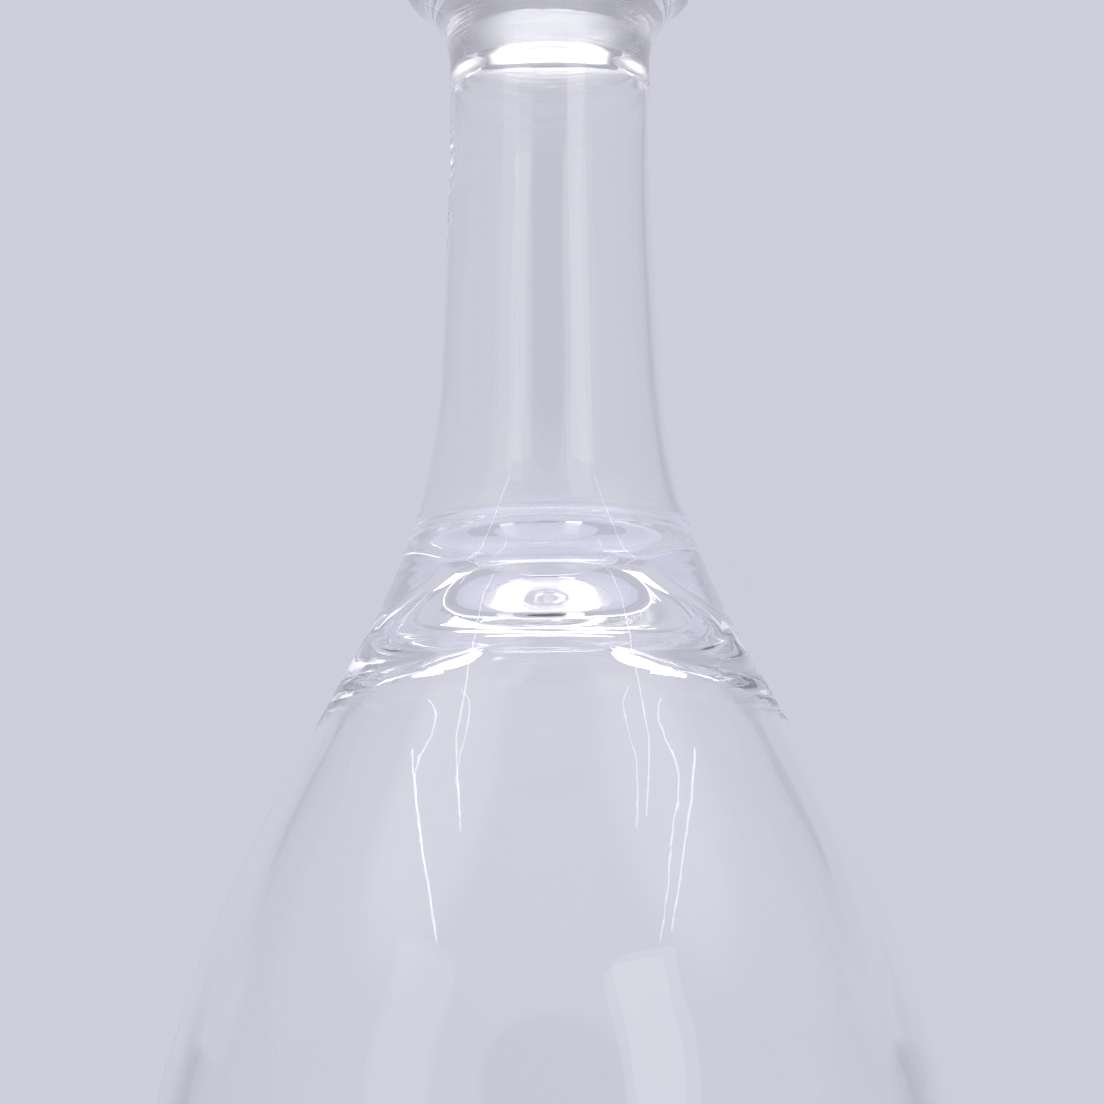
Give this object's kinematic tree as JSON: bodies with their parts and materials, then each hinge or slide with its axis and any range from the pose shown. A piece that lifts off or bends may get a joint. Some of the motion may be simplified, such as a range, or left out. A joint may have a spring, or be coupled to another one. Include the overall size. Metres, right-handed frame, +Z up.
{
  "type": "round bottom flask",
  "caption": "Heavy-walled pear-shouldered round bottom flask with a ground conical mouth, flared lip and lift-out ground-glass stopper.",
  "frame": {"origin": "the lowest point of the round bottom, on the flask's axis", "axes": "+Z runs up the axis towards the mouth; the flask is round about Z, so X and Y are any two square directions"},
  "size_m": [0.1266, 0.1266, 0.279],
  "materials": {
    "clear_glass": "clear hand-blown glass, fire polished",
    "ground_glass": "clear glass with fine-ground, frosted cone faces"
  },
  "bodies": {
    "flask": {"bulb": "clear_glass", "neck_tube": "clear_glass", "mouth_socket": "ground_glass", "lip_ring": "clear_glass"},
    "stopper": {"stopper_plug": "ground_glass", "stopper_head": "clear_glass"}
  },
  "joints": [
    {"name": "stopper_lift", "type": "slide", "parent": "flask", "child": "stopper", "axis": [0, 0, 1], "range_m": [0, 0.07]}
  ]
}
